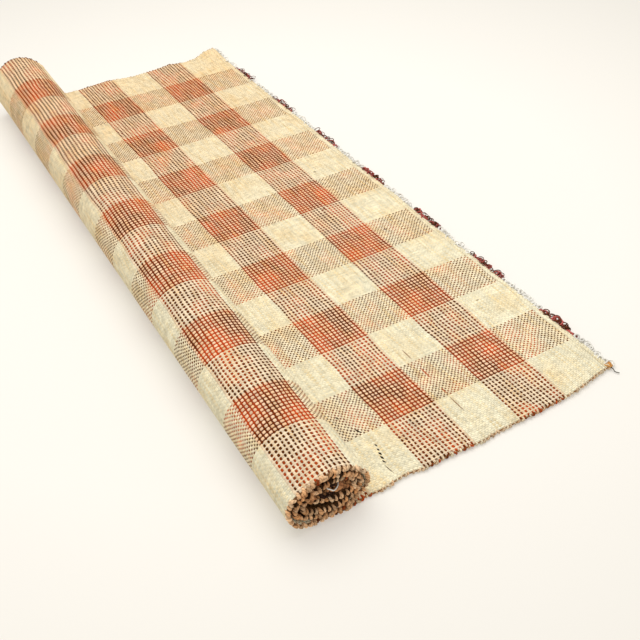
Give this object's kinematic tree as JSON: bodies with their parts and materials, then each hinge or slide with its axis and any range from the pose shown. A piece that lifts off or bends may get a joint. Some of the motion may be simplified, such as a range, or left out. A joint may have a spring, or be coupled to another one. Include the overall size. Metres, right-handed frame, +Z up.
{
  "type": "partly rolled jute rug",
  "caption": "Flat-woven checked rug lying on the floor, rolled up from one end into a long flattened roll, with a short curly fringe along the other end.",
  "frame": {"origin": "on the floor under the middle of the whole object's box", "axes": "+X across the rug along the roll, +Y along the rug from the roll towards the fringe, +Z up"},
  "size_m": [1.2374, 0.5234, 0.1103],
  "materials": {
    "natural_jute": "matt plain weave of jute and cotton yarns in cream and rust checks",
    "cream_cotton": "matt cotton yarn, cut warp ends",
    "red_cotton": "matt cotton yarn, cut warp ends"
  },
  "bodies": {
    "root": {"rug": "natural_jute", "fringe_01": "cream_cotton", "fringe_02": "red_cotton", "fringe_03": "cream_cotton", "fringe_04": "red_cotton", "fringe_05": "cream_cotton", "fringe_06": "red_cotton", "fringe_07": "cream_cotton", "fringe_08": "red_cotton", "fringe_09": "cream_cotton", "fringe_10": "red_cotton", "fringe_11": "cream_cotton", "fringe_12": "red_cotton", "fringe_13": "cream_cotton", "fringe_14": "red_cotton", "fringe_15": "cream_cotton"}
  },
  "joints": []
}
